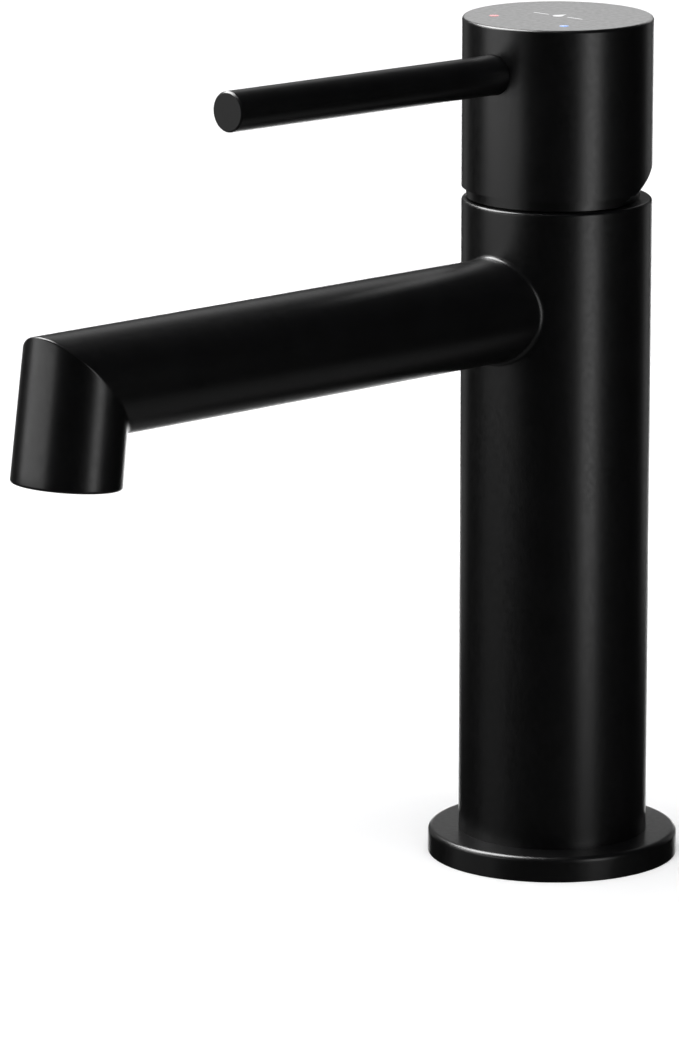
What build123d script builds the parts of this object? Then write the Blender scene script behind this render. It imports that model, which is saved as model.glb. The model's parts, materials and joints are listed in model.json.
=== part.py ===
"""Single-lever basin mixer: round body, mitred spout, pin lever and ceramic cartridge.

Millimetres, +Z up. The spout and the lever point to -Y, the hot side is -X. The origin is on the
body's axis, in the plane that the foot stands on.
"""

import os
from math import cos, radians, sin, tan

from build123d import *

os.makedirs("parts", exist_ok=True)

# ---- driving dimensions ----------------------------------------------------------------------

# body and foot
BODY_R = 20.0
BODY_WALL = 2.5
BODY_TOP = 141.7
FLANGE_R = 26.5
FLANGE_T = 5.3
EDGE_R = 0.65  # small rounding on the painted edges

# spout
SPOUT_R = 11.0
SPOUT_WALL = 1.5
SPOUT_Z = 119.85  # height of the spout's axis at the body's axis
SPOUT_RISE = 1.17  # degrees above level
SPOUT_REACH = 140.6  # body axis to the mitre, along the spout
WELD_R = 0.8  # fillet between spout and body
WELD_SEAT_R = 12.4  # round seat of the spout's root in the body
NOZZLE_LEAN = 7.9  # degrees outward from straight down
NOZZLE_DROP = 19.7  # mitre to mouth, along the nozzle
MOUTH_R = 11.2
MOUTH_TILT = 6.0  # degrees of the mouth's plane from level

# handle
HEAD_GAP = 2.5  # open gap between body and head
HEAD_TOP = 180.0
HEAD_BORE_R = 18.3
HEAD_CAP = 3.0
SKIRT_R = 19.05
SKIRT_CLEARANCE = 0.4
RELIEF_ANGLE = 26.4  # degrees, slope of the cut at the back of the head
RELIEF_LIFT = 1.22  # height of that cut above the body, on the head's axis
LEVER_R = 4.17
LEVER_Z = 169.4
LEVER_RISE = 1.5  # degrees above level
LEVER_END = 98.1  # head axis to the lever's end, along the lever
LEVER_SHOULDER = 17.0  # head axis to the lever's shoulder
LEVER_THREAD_R = 3.0  # M6
MARK_R = 1.0
MARK_X = 9.8
MARK_Y = -9.0
MARK_T = 0.6

# cartridge and its motion
PIVOT_HEIGHT = 5.0  # pivot above the body's top
HANDLE_LIFT = 25.0  # degrees from shut to full flow
FOOT_ARM = 7.2  # pivot to the stem's foot
FOOT_R = 1.6
STEM_SIDE = 8.0
PIN_R = 1.5
CARTRIDGE_R = 12.5
SEAT_Z = 128.5  # floor of the valve body's cup
RUNNING = 0.05  # radial clearance of pins and sliding pieces
HOLE_PLAY = 0.1  # radial clearance of turning pieces and drilled holes

# foot block and water ways
BLOCK_H = 24.0
PORT_X = 7.0
PORT_Y = 4.0
HOSE_THREAD_R = 4.5  # M10 x 1, drilled
HOSE_THREAD_DEPTH = 12.0
STUD_Y = -10.5
STUD_THREAD_R = 3.4  # M8, drilled
STUD_DEPTH = 16.0
PIPE_R = 4.0
PIPE_BORE_R = 3.2
SOCKET_DEPTH = 8.0
VALVE_BOTTOM = 102.0
CHANNEL_R = 5.6

# disc ports
INLET_X = 4.4
INLET_Y = 2.6
INLET_R = 1.5
OUTLET_Y = -4.2
OUTLET_R = 2.0

# ---- derived sizes, places and planes --------------------------------------------------------

BORE_R = BODY_R - BODY_WALL
SPOUT_BORE_R = SPOUT_R - SPOUT_WALL
HEAD_BOTTOM = BODY_TOP + HEAD_GAP
PIVOT_Z = BODY_TOP + PIVOT_HEIGHT
STEM_LEAN = HANDLE_LIFT / 2
FOOT_Y = FOOT_ARM * sin(radians(STEM_LEAN))

spout_dir = Vector(0, -cos(radians(SPOUT_RISE)), sin(radians(SPOUT_RISE)))
spout_plane = Plane(origin=(0, 0, SPOUT_Z), x_dir=(1, 0, 0), z_dir=spout_dir)
mitre_centre = spout_plane.origin + spout_dir * SPOUT_REACH
nozzle_dir = Vector(0, -sin(radians(NOZZLE_LEAN)), -cos(radians(NOZZLE_LEAN)))
mitre_dir = (spout_dir + nozzle_dir).normalized()
mitre_plane = Plane(origin=mitre_centre, x_dir=(1, 0, 0), z_dir=mitre_dir)
MITRE_STRETCH = 1 / spout_dir.dot(mitre_dir)  # long over short radius of the mitre's ellipse
mouth_centre = mitre_centre + nozzle_dir * NOZZLE_DROP
mouth_dir = Vector(0, -sin(radians(MOUTH_TILT)), -cos(radians(MOUTH_TILT)))
mouth_plane = Plane(origin=mouth_centre, x_dir=(1, 0, 0), z_dir=mouth_dir)
aerator_plane = Plane(origin=mouth_centre, x_dir=(1, 0, 0), z_dir=nozzle_dir * -1)

lever_dir = Vector(0, -cos(radians(LEVER_RISE)), sin(radians(LEVER_RISE)))
lever_plane = Plane(origin=(0, 0, LEVER_Z), x_dir=(1, 0, 0), z_dir=lever_dir)
stem_dir = Vector(0, -sin(radians(STEM_LEAN)), cos(radians(STEM_LEAN)))
stem_plane = Plane(origin=(0, 0, PIVOT_Z), x_dir=(1, 0, 0), z_dir=stem_dir)
pivot_plane = Plane(origin=(0, 0, PIVOT_Z), x_dir=(0, 1, 0), z_dir=(1, 0, 0))

inlet_places = [(-INLET_X, INLET_Y), (INLET_X, INLET_Y)]
pipe_places = [(-PORT_X, PORT_Y), (PORT_X, PORT_Y)]


def hex_grid(rings, pitch):
    """Centres of a hexagonal grid: one in the middle, with this many rings around it."""
    points = []
    for row in range(-rings, rings + 1):
        count = 2 * rings + 1 - abs(row)
        for column in range(count):
            points.append(((column - (count - 1) / 2) * pitch, row * pitch * sin(radians(60))))
    return points


# ---- body ------------------------------------------------------------------------------------

# Upright tube, open at both ends, with a round seat for the root of the spout.
with BuildPart() as body_tube:
    with BuildSketch():
        Circle(BODY_R)
        Circle(BORE_R, mode=Mode.SUBTRACT)
    extrude(amount=BODY_TOP)
    fillet(body_tube.faces().sort_by(Axis.Z)[-1].edges().sort_by(SortBy.RADIUS)[-1], EDGE_R)
    with BuildSketch(spout_plane):
        Circle(WELD_SEAT_R)
    extrude(amount=BODY_R + SPOUT_R, mode=Mode.SUBTRACT)
body_tube.part.label = "body_tube"
export_step(body_tube.part, "parts/body_tube.step")

# Foot: a thick ring around the tube, rounded above, with a groove for the gasket below.
GASKET_INNER_R = 21.6
GASKET_OUTER_R = 25.2
GASKET_T = 1.6
FLANGE_ROUND = 1.0
with BuildPart() as base_flange:
    with BuildSketch():
        Circle(FLANGE_R)
        Circle(BODY_R, mode=Mode.SUBTRACT)
    extrude(amount=FLANGE_T)
    fillet(base_flange.faces().sort_by(Axis.Z)[-1].edges().sort_by(SortBy.RADIUS)[-1], FLANGE_ROUND)
    with BuildSketch():
        Circle(GASKET_OUTER_R)
        Circle(GASKET_INNER_R, mode=Mode.SUBTRACT)
    extrude(amount=GASKET_T, mode=Mode.SUBTRACT)
base_flange.part.label = "base_flange"
export_step(base_flange.part, "parts/base_flange.step")

with BuildPart() as base_gasket:
    with BuildSketch():
        Circle(GASKET_OUTER_R)
        Circle(GASKET_INNER_R, mode=Mode.SUBTRACT)
    extrude(amount=GASKET_T)
base_gasket.part.label = "base_gasket"
export_step(base_gasket.part, "parts/base_gasket.step")

# ---- water ways ------------------------------------------------------------------------------

SEAL_W = 1.1  # section of the O-rings on the pipes
SEAL_INSET = 3.0  # their distance from a socket's mouth

# Brass block in the foot: two hose ports and the stud's hole below, two pipe sockets above.
with BuildPart() as inlet_block:
    with BuildSketch():
        Circle(BORE_R)
    extrude(amount=BLOCK_H)
    with BuildSketch():
        with Locations(*pipe_places):
            Circle(HOSE_THREAD_R)
    extrude(amount=HOSE_THREAD_DEPTH, mode=Mode.SUBTRACT)
    with BuildSketch():
        with Locations(*pipe_places):
            Circle(PIPE_BORE_R)
    extrude(amount=BLOCK_H, mode=Mode.SUBTRACT)
    with BuildSketch(Plane.XY.offset(BLOCK_H - SOCKET_DEPTH)):
        with Locations(*pipe_places):
            Circle(PIPE_R)
    extrude(amount=SOCKET_DEPTH, mode=Mode.SUBTRACT)
    with BuildSketch(Plane.XY.offset(BLOCK_H - SEAL_INSET - SEAL_W)):
        with Locations(*pipe_places):
            Circle(PIPE_R + SEAL_W)
    extrude(amount=SEAL_W, mode=Mode.SUBTRACT)
    with BuildSketch():
        with Locations((0, STUD_Y)):
            Circle(STUD_THREAD_R)
    extrude(amount=STUD_DEPTH, mode=Mode.SUBTRACT)
inlet_block.part.label = "inlet_block"
export_step(inlet_block.part, "parts/inlet_block.step")

# Riser pipes, each pushed into a socket of the block below and of the valve body above.
PIPE_BOTTOM = BLOCK_H - SOCKET_DEPTH
PIPE_TOP = VALVE_BOTTOM + SOCKET_DEPTH
for side, place in zip(("hot", "cold"), pipe_places):
    with BuildPart() as pipe:
        with BuildSketch(Plane.XY.offset(PIPE_BOTTOM)):
            with Locations(place):
                Circle(PIPE_R)
                Circle(PIPE_BORE_R, mode=Mode.SUBTRACT)
        extrude(amount=PIPE_TOP - PIPE_BOTTOM)
    pipe.part.label = f"{side}_pipe"
    export_step(pipe.part, f"parts/{side}_pipe.step")

# O-rings in the four sockets.
with BuildPart() as pipe_seals:
    for bottom in (BLOCK_H - SEAL_INSET - SEAL_W, VALVE_BOTTOM + SEAL_INSET):
        with BuildSketch(Plane.XY.offset(bottom)):
            with Locations(*pipe_places):
                Circle(PIPE_R + SEAL_W)
                Circle(PIPE_R, mode=Mode.SUBTRACT)
        extrude(amount=SEAL_W)
pipe_seals.part.label = "pipe_seals"
export_step(pipe_seals.part, "parts/pipe_seals.step")

# Brass casting that fills the tube behind the spout: a cup for the cartridge above, two slanting
# inlet passages, and a drop from the middle of the cup into a channel along the spout.
VALVE_SHOULDER = SEAT_Z + 3.3
VALVE_TOP = SEAT_Z + 8.7
VALVE_NECK_R = 15.9
CUP_R = CARTRIDGE_R + RUNNING
NUT_THREAD_R = 14.4
NUT_BOTTOM = SEAT_Z + 6.2
PASSAGE_R = 1.9
PEG_R = 1.2
PEG_H = 2.0
peg_places = [(-8.6, -3.6), (8.6, -3.6)]
CHANNEL_START = 2.2  # body axis to the channel's blind end
with BuildPart() as valve_body:
    with BuildSketch(Plane.XY.offset(VALVE_BOTTOM)):
        Circle(BORE_R)
    extrude(amount=VALVE_SHOULDER - VALVE_BOTTOM)
    with BuildSketch(Plane.XY.offset(VALVE_SHOULDER)):
        Circle(VALVE_NECK_R)
    extrude(amount=VALVE_TOP - VALVE_SHOULDER)
    with BuildSketch(Plane.XY.offset(SEAT_Z)):
        Circle(CUP_R)
    extrude(amount=VALVE_TOP - SEAT_Z, mode=Mode.SUBTRACT)
    with BuildSketch(Plane.XY.offset(NUT_BOTTOM)):
        Circle(NUT_THREAD_R)
    extrude(amount=VALVE_TOP - NUT_BOTTOM, mode=Mode.SUBTRACT)
    with BuildSketch(Plane.XY.offset(VALVE_BOTTOM)):
        with Locations(*pipe_places):
            Circle(PIPE_R)
    extrude(amount=SOCKET_DEPTH, mode=Mode.SUBTRACT)
    with BuildSketch(Plane.XY.offset(VALVE_BOTTOM + SEAL_INSET)):
        with Locations(*pipe_places):
            Circle(PIPE_R + SEAL_W)
    extrude(amount=SEAL_W, mode=Mode.SUBTRACT)
    for side in (-1, 1):
        passage_start = Vector(side * PORT_X, PORT_Y, PIPE_TOP - PASSAGE_R)
        passage = Vector(side * INLET_X, INLET_Y, SEAT_Z + PASSAGE_R) - passage_start
        with BuildSketch(Plane(origin=passage_start, z_dir=passage)):
            Circle(PASSAGE_R)
        extrude(amount=passage.length, mode=Mode.SUBTRACT)
    with BuildSketch(Plane.XY.offset(SPOUT_Z)):
        with Locations((0, OUTLET_Y)):
            Circle(OUTLET_R)
    extrude(amount=SEAT_Z - SPOUT_Z, mode=Mode.SUBTRACT)
    with BuildSketch(spout_plane.offset(CHANNEL_START)):
        Circle(CHANNEL_R)
    extrude(amount=BODY_R, mode=Mode.SUBTRACT)
    with BuildSketch(Plane.XY.offset(SEAT_Z - PEG_H)):
        with Locations(*peg_places):
            Circle(PEG_R)
    extrude(amount=PEG_H, mode=Mode.SUBTRACT)
valve_body.part.label = "valve_body"
export_step(valve_body.part, "parts/valve_body.step")

# ---- spout -----------------------------------------------------------------------------------

# Straight tube. Its root is a round seat flush with the body's wall, with a weld fillet around it,
# and its end is cut at the mitre.
with BuildPart() as spout_arm:
    with BuildSketch(Plane.XY.offset(SPOUT_Z - 2 * SPOUT_R)):
        Circle(BODY_R)
    extrude(amount=4 * SPOUT_R)
    with BuildSketch(spout_plane):
        Circle(SPOUT_R)
    extrude(amount=SPOUT_REACH + 2 * SPOUT_R)
    fillet(
        spout_arm.edges().filter_by(lambda e: e.geom_type not in (GeomType.LINE, GeomType.CIRCLE)),
        WELD_R,
    )
    with BuildSketch(spout_plane):
        Circle(WELD_SEAT_R)
    extrude(amount=SPOUT_REACH + 2 * SPOUT_R, mode=Mode.INTERSECT)
    with BuildSketch(Plane.XY.offset(SPOUT_Z - 2 * SPOUT_R)):
        Circle(BORE_R)
    extrude(amount=4 * SPOUT_R, mode=Mode.SUBTRACT)
    with BuildSketch(spout_plane):
        Circle(SPOUT_BORE_R)
    extrude(amount=SPOUT_REACH + 2 * SPOUT_R, mode=Mode.SUBTRACT)
    split(bisect_by=mitre_plane, keep=Keep.BOTTOM)
spout_arm.part.label = "spout_arm"
export_step(spout_arm.part, "parts/spout_arm.step")

# Down-turned end, from the mitre's ellipse to a slightly wider round mouth, bored for the aerator.
AERATOR_SEAT_R = 9.9
AERATOR_SEAT_DEPTH = 9.0
LIP_R = 0.6
with BuildPart() as spout_nozzle:
    with BuildSketch(mitre_plane):
        Ellipse(SPOUT_R, SPOUT_R * MITRE_STRETCH)
    with BuildSketch(mouth_plane):
        Circle(MOUTH_R)
    loft(ruled=True)
    fillet(spout_nozzle.faces().sort_by(Axis.Z)[0].edges(), LIP_R)
    with BuildSketch(aerator_plane.offset(-SPOUT_R)):
        Circle(SPOUT_BORE_R)
    extrude(amount=NOZZLE_DROP + 3 * SPOUT_R, mode=Mode.SUBTRACT)
    with BuildSketch(aerator_plane.offset(-SPOUT_R)):
        Circle(AERATOR_SEAT_R)
    extrude(amount=SPOUT_R + AERATOR_SEAT_DEPTH, mode=Mode.SUBTRACT)
spout_nozzle.part.label = "spout_nozzle"
export_step(spout_nozzle.part, "parts/spout_nozzle.step")

# Aerator, from the mouth upwards: housing with key notches, straightener, screen and gasket.
HOUSING_BOTTOM = 1.2
HOUSING_TOP = 7.8
HOUSING_BORE_R = 8.3
NOTCH_W = 2.2
NOTCH_H = 1.2
NOTCHES = 8
with BuildPart() as aerator_housing:
    with BuildSketch(aerator_plane.offset(HOUSING_BOTTOM)):
        Circle(AERATOR_SEAT_R)
        Circle(HOUSING_BORE_R, mode=Mode.SUBTRACT)
    extrude(amount=HOUSING_TOP - HOUSING_BOTTOM)
    with BuildSketch(aerator_plane.offset(HOUSING_BOTTOM)):
        with PolarLocations(AERATOR_SEAT_R, NOTCHES):
            Rectangle(AERATOR_SEAT_R - HOUSING_BORE_R + NOTCH_W, NOTCH_W)
    extrude(amount=NOTCH_H, mode=Mode.SUBTRACT)
aerator_housing.part.label = "aerator_housing"
export_step(aerator_housing.part, "parts/aerator_housing.step")

STRAIGHTENER_BOTTOM = 2.4
STRAIGHTENER_T = 4.0
CELL_PITCH = 2.3
CELL_R = 1.1
with BuildPart() as flow_straightener:
    with BuildSketch(aerator_plane.offset(STRAIGHTENER_BOTTOM)):
        Circle(HOUSING_BORE_R)
        with Locations(*hex_grid(3, CELL_PITCH)):
            RegularPolygon(CELL_R, 6, rotation=30, mode=Mode.SUBTRACT)
    extrude(amount=STRAIGHTENER_T)
flow_straightener.part.label = "flow_straightener"
export_step(flow_straightener.part, "parts/flow_straightener.step")

SCREEN_T = 0.5
SCREEN_PITCH = 1.75
SCREEN_HOLE_R = 0.6
with BuildPart() as aerator_screen:
    with BuildSketch(aerator_plane.offset(STRAIGHTENER_BOTTOM + STRAIGHTENER_T)):
        Circle(HOUSING_BORE_R)
        with Locations(*hex_grid(4, SCREEN_PITCH)):
            Circle(SCREEN_HOLE_R, mode=Mode.SUBTRACT)
    extrude(amount=SCREEN_T)
aerator_screen.part.label = "aerator_screen"
export_step(aerator_screen.part, "parts/aerator_screen.step")

GASKET_BORE_R = 8.0
with BuildPart() as aerator_gasket:
    with BuildSketch(aerator_plane.offset(HOUSING_TOP)):
        Circle(AERATOR_SEAT_R)
        Circle(GASKET_BORE_R, mode=Mode.SUBTRACT)
    extrude(amount=AERATOR_SEAT_DEPTH - HOUSING_TOP)
aerator_gasket.part.label = "aerator_gasket"
export_step(aerator_gasket.part, "parts/aerator_gasket.step")

# ---- cartridge, fixed pieces -----------------------------------------------------------------

SHELL_SHOULDER = SEAT_Z + 10.0
COLLAR_R = 10.9
COLLAR_TOP = SEAT_Z + 21.0
CAVITY_R = 11.2
CAVITY_TOP = SEAT_Z + 8.5
TURRET_R = 9.9
TURRET_NECK_R = 8.9
TURRET_STEP = SEAT_Z + 15.8

# Plastic case, open below, with a stepped bore that holds the turret down.
with BuildPart() as cartridge_shell:
    with BuildSketch(Plane.XZ):
        with BuildLine():
            Polyline(
                (CAVITY_R, SEAT_Z),
                (CARTRIDGE_R, SEAT_Z),
                (CARTRIDGE_R, SHELL_SHOULDER),
                (COLLAR_R, SHELL_SHOULDER),
                (COLLAR_R, COLLAR_TOP),
                (TURRET_NECK_R + HOLE_PLAY, COLLAR_TOP),
                (TURRET_NECK_R + HOLE_PLAY, TURRET_STEP + HOLE_PLAY),
                (TURRET_R + HOLE_PLAY, TURRET_STEP + HOLE_PLAY),
                (TURRET_R + HOLE_PLAY, CAVITY_TOP),
                (CAVITY_R, CAVITY_TOP),
                close=True,
            )
        make_face()
    revolve(axis=Axis.Z)
cartridge_shell.part.label = "cartridge_shell"
export_step(cartridge_shell.part, "parts/cartridge_shell.step")

# Floor of the cartridge, with two locating pegs and a groove around each port.
FLOOR_T = 3.6
FLOOR_R = CAVITY_R - RUNNING
GROOVE_GAP = 0.4
GROOVE_W = 0.8
GROOVE_DEPTH = 1.0
ports = [(place, INLET_R) for place in inlet_places] + [((0, OUTLET_Y), OUTLET_R)]
with BuildPart() as cartridge_floor:
    with BuildSketch(Plane.XY.offset(SEAT_Z)):
        Circle(FLOOR_R)
        for place, radius in ports:
            with Locations(place):
                Circle(radius, mode=Mode.SUBTRACT)
    extrude(amount=FLOOR_T)
    with BuildSketch(Plane.XY.offset(SEAT_Z)):
        for place, radius in ports:
            with Locations(place):
                Circle(radius + GROOVE_GAP + GROOVE_W)
                Circle(radius + GROOVE_GAP, mode=Mode.SUBTRACT)
    extrude(amount=GROOVE_DEPTH, mode=Mode.SUBTRACT)
    with BuildSketch(Plane.XY.offset(SEAT_Z - PEG_H)):
        with Locations(*peg_places):
            Circle(PEG_R - RUNNING)
    extrude(amount=PEG_H)
cartridge_floor.part.label = "cartridge_floor"
export_step(cartridge_floor.part, "parts/cartridge_floor.step")

with BuildPart() as port_seals:
    with BuildSketch(Plane.XY.offset(SEAT_Z)):
        for place, radius in ports:
            with Locations(place):
                Circle(radius + GROOVE_GAP + GROOVE_W)
                Circle(radius + GROOVE_GAP, mode=Mode.SUBTRACT)
    extrude(amount=GROOVE_DEPTH)
port_seals.part.label = "port_seals"
export_step(port_seals.part, "parts/port_seals.step")

FIXED_DISC_R = 10.5
FIXED_DISC_T = 2.8
FLOOR_TOP = SEAT_Z + FLOOR_T
with BuildPart() as fixed_disc:
    with BuildSketch(Plane.XY.offset(FLOOR_TOP)):
        Circle(FIXED_DISC_R)
        for place, radius in ports:
            with Locations(place):
                Circle(radius, mode=Mode.SUBTRACT)
    extrude(amount=FIXED_DISC_T)
fixed_disc.part.label = "fixed_disc"
export_step(fixed_disc.part, "parts/fixed_disc.step")

# Brass nut: a threaded skirt in the valve body's cup and a hexagon around the collar.
NUT_HEX_BOTTOM = SEAT_Z + 10.9
NUT_TOP = SEAT_Z + 16.5
NUT_FLATS = 24.0
with BuildPart() as cartridge_nut:
    with BuildSketch(Plane.XY.offset(NUT_BOTTOM)):
        Circle(NUT_THREAD_R)
    extrude(amount=NUT_HEX_BOTTOM - NUT_BOTTOM)
    with BuildSketch(Plane.XY.offset(NUT_HEX_BOTTOM)):
        RegularPolygon(NUT_FLATS / 2, 6, major_radius=False)
    extrude(amount=NUT_TOP - NUT_HEX_BOTTOM)
    with BuildSketch(Plane.XY.offset(NUT_BOTTOM)):
        Circle(CARTRIDGE_R + RUNNING)
    extrude(amount=SHELL_SHOULDER - NUT_BOTTOM, mode=Mode.SUBTRACT)
    with BuildSketch(Plane.XY.offset(NUT_BOTTOM)):
        Circle(COLLAR_R + HOLE_PLAY)
    extrude(amount=NUT_TOP - NUT_BOTTOM, mode=Mode.SUBTRACT)
cartridge_nut.part.label = "cartridge_nut"
export_step(cartridge_nut.part, "parts/cartridge_nut.step")

# ---- bonnet ----------------------------------------------------------------------------------

# Domed cover, a ball around the handle's pivot so that the head can tilt over it, on a sleeve that
# pushes into the body's mouth.
DOME_R = 17.9
DOME_WALL = 1.5
DOME_INNER_R = DOME_R - DOME_WALL
DOME_H = 8.5  # pivot to the flat top of the dome
DOME_TOP = PIVOT_Z + DOME_H
DOME_HOLE_R = 8.5
LEDGE_TOP = BODY_TOP - HOLE_PLAY
LEDGE_BOTTOM = VALVE_TOP + HOLE_PLAY
SLEEVE_R = BORE_R - RUNNING
SLEEVE_INNER_R = 16.0
SLEEVE_BOTTOM = 133.5
WAIST_R = 15.4
RING_GROOVE_R = 16.7
RING_BOTTOM = 136.4
RING_TOP = 138.0


def ball_radius_at(height, radius):
    """Distance from the axis of a ball around the pivot, at a height."""
    return (radius**2 - (height - PIVOT_Z) ** 2) ** 0.5


WAIST_TOP = PIVOT_Z - (DOME_INNER_R**2 - WAIST_R**2) ** 0.5
DOME_CEILING = DOME_TOP - DOME_WALL
with BuildPart() as bonnet:
    with BuildSketch(Plane.XZ):
        with BuildLine():
            Polyline(
                (ball_radius_at(LEDGE_TOP, DOME_R), LEDGE_TOP),
                (SLEEVE_R, LEDGE_TOP),
                (SLEEVE_R, RING_TOP),
                (RING_GROOVE_R, RING_TOP),
                (RING_GROOVE_R, RING_BOTTOM),
                (SLEEVE_R, RING_BOTTOM),
                (SLEEVE_R, SLEEVE_BOTTOM),
                (SLEEVE_INNER_R, SLEEVE_BOTTOM),
                (SLEEVE_INNER_R, LEDGE_BOTTOM),
                (WAIST_R, LEDGE_BOTTOM),
                (WAIST_R, WAIST_TOP),
            )
            ThreePointArc(
                (WAIST_R, WAIST_TOP),
                (DOME_INNER_R, PIVOT_Z),
                (ball_radius_at(DOME_CEILING, DOME_INNER_R), DOME_CEILING),
            )
            Polyline(
                (ball_radius_at(DOME_CEILING, DOME_INNER_R), DOME_CEILING),
                (DOME_HOLE_R, DOME_CEILING),
                (DOME_HOLE_R, DOME_TOP),
                (ball_radius_at(DOME_TOP, DOME_R), DOME_TOP),
            )
            ThreePointArc(
                (ball_radius_at(DOME_TOP, DOME_R), DOME_TOP),
                (DOME_R, PIVOT_Z),
                (ball_radius_at(LEDGE_TOP, DOME_R), LEDGE_TOP),
            )
        make_face()
    revolve(axis=Axis.Z)
bonnet.part.label = "bonnet"
export_step(bonnet.part, "parts/bonnet.step")

with BuildPart() as bonnet_ring:
    with BuildSketch(Plane.XY.offset(RING_BOTTOM)):
        Circle(BORE_R)
        Circle(RING_GROOVE_R, mode=Mode.SUBTRACT)
    extrude(amount=RING_TOP - RING_BOTTOM)
bonnet_ring.part.label = "bonnet_ring"
export_step(bonnet_ring.part, "parts/bonnet_ring.step")

# ---- cartridge, moving pieces ----------------------------------------------------------------

TURRET_BOTTOM = SEAT_Z + 13.2
TURRET_TOP = SEAT_Z + 20.5
SLOT_W = 6.2
SLOT_L = 13.0
PIN_L = 17.0

# Turret: turns with the handle, slotted for the stem and cross-drilled for its pin.
with BuildPart() as turret:
    with BuildSketch(Plane.XY.offset(TURRET_BOTTOM)):
        Circle(TURRET_R)
    extrude(amount=TURRET_STEP - TURRET_BOTTOM)
    with BuildSketch(Plane.XY.offset(TURRET_STEP)):
        Circle(TURRET_NECK_R)
    extrude(amount=TURRET_TOP - TURRET_STEP)
    with BuildSketch(Plane.XY.offset(TURRET_BOTTOM)):
        Rectangle(SLOT_W, SLOT_L)
    extrude(amount=TURRET_TOP - TURRET_BOTTOM, mode=Mode.SUBTRACT)
    with BuildSketch(pivot_plane):
        Circle(PIN_R)
    extrude(amount=TURRET_R, both=True, mode=Mode.SUBTRACT)
turret.part.label = "turret"
export_step(turret.part, "parts/turret.step")

with BuildPart() as pivot_pin:
    with BuildSketch(pivot_plane):
        Circle(PIN_R)
    extrude(amount=PIN_L / 2, both=True)
pivot_pin.part.label = "pivot_pin"
export_step(pivot_pin.part, "parts/pivot_pin.step")

# Stem: square above, a flat blade on the pin, and a round foot that pushes the discs.
BLADE_W = 6.0
BLADE_R = 3.2
NECK_W = 2.2
STEM_SHOULDER = 3.6
STEM_TOP = 26.5
with BuildPart() as lever_stem:
    with BuildSketch(stem_plane.offset(STEM_SHOULDER)):
        Rectangle(STEM_SIDE, STEM_SIDE)
    extrude(amount=STEM_TOP - STEM_SHOULDER)
    chamfer(lever_stem.faces().sort_by(Axis.Z)[-1].edges(), EDGE_R)
    with BuildSketch(stem_plane):
        Rectangle(BLADE_W, 2 * BLADE_R)
    extrude(amount=STEM_SHOULDER)
    with BuildSketch(pivot_plane):
        Circle(BLADE_R)
    extrude(amount=BLADE_W / 2, both=True)
    with BuildSketch(stem_plane.offset(-FOOT_ARM)):
        Rectangle(BLADE_W, NECK_W)
    extrude(amount=FOOT_ARM)
    with BuildSketch(Plane(origin=stem_plane.origin - stem_dir * FOOT_ARM, z_dir=(1, 0, 0))):
        Circle(FOOT_R)
    extrude(amount=BLADE_W / 2, both=True)
    with BuildSketch(pivot_plane):
        Circle(PIN_R + RUNNING)
    extrude(amount=BLADE_W, both=True, mode=Mode.SUBTRACT)
lever_stem.part.label = "lever_stem"
export_step(lever_stem.part, "parts/lever_stem.step")

# Moving disc: it covers the inlets when shut, and its pocket joins them to the outlet when open.
MOVING_DISC_R = 7.8
FIXED_DISC_TOP = FLOOR_TOP + FIXED_DISC_T
MOVING_DISC_BOTTOM = FIXED_DISC_TOP + RUNNING
MOVING_DISC_TOP = SEAT_Z + 9.0
POCKET_DEPTH = 1.2
POCKET_R = 6.7
POCKET_Y = 4.6  # disc centre to the middle of the cross pocket
with BuildPart() as moving_disc:
    with BuildSketch(Plane.XY.offset(MOVING_DISC_BOTTOM)):
        with Locations((0, FOOT_Y)):
            Circle(MOVING_DISC_R)
    extrude(amount=MOVING_DISC_TOP - MOVING_DISC_BOTTOM)
    with BuildSketch(Plane.XY.offset(MOVING_DISC_BOTTOM)):
        with Locations((0, FOOT_Y + POCKET_Y)):
            Rectangle(2 * POCKET_R, 2 * INLET_R)
        with Locations((0, FOOT_Y)):
            Rectangle(2 * OUTLET_R, 2 * POCKET_R)
            Circle(POCKET_R, mode=Mode.INTERSECT)
    extrude(amount=POCKET_DEPTH, mode=Mode.SUBTRACT)
moving_disc.part.label = "moving_disc"
export_step(moving_disc.part, "parts/moving_disc.step")

# Carrier above the disc, with a slot that the stem's foot pushes.
DRIVER_R = 7.6
DRIVER_TOP = SEAT_Z + 12.9
DRIVER_POCKET_BOTTOM = SEAT_Z + 9.3
with BuildPart() as disc_driver:
    with BuildSketch(Plane.XY.offset(MOVING_DISC_TOP)):
        with Locations((0, FOOT_Y)):
            Circle(DRIVER_R)
    extrude(amount=DRIVER_TOP - MOVING_DISC_TOP)
    with BuildSketch(Plane.XY.offset(DRIVER_POCKET_BOTTOM)):
        with Locations((0, FOOT_Y)):
            Rectangle(SLOT_W, 2 * (FOOT_R + RUNNING))
    extrude(amount=DRIVER_TOP - DRIVER_POCKET_BOTTOM, mode=Mode.SUBTRACT)
disc_driver.part.label = "disc_driver"
export_step(disc_driver.part, "parts/disc_driver.step")

# ---- handle ----------------------------------------------------------------------------------

HUB_R = 8.0
HUB_Y = -4.5
HUB_BOTTOM = 162.7
BOSS_W = 12.4
BOSS_BOTTOM = 163.6
BOSS_BITE = 0.5  # how far the boss runs into the head's wall
CEILING = HEAD_TOP - HEAD_CAP
SKIRT_BOTTOM = BODY_TOP + SKIRT_CLEARANCE
LEVER_HOLE_R = LEVER_R + HOLE_PLAY
MARK_BOTTOM = HEAD_TOP - MARK_T
SOCKET_START = 14.5
RELIEF_RUN = 25.0  # how far the cut runs, past the back of the head
relief_start = -RELIEF_LIFT / tan(radians(RELIEF_ANGLE))
relief_end = BODY_TOP + RELIEF_LIFT + RELIEF_RUN * tan(radians(RELIEF_ANGLE))

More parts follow.
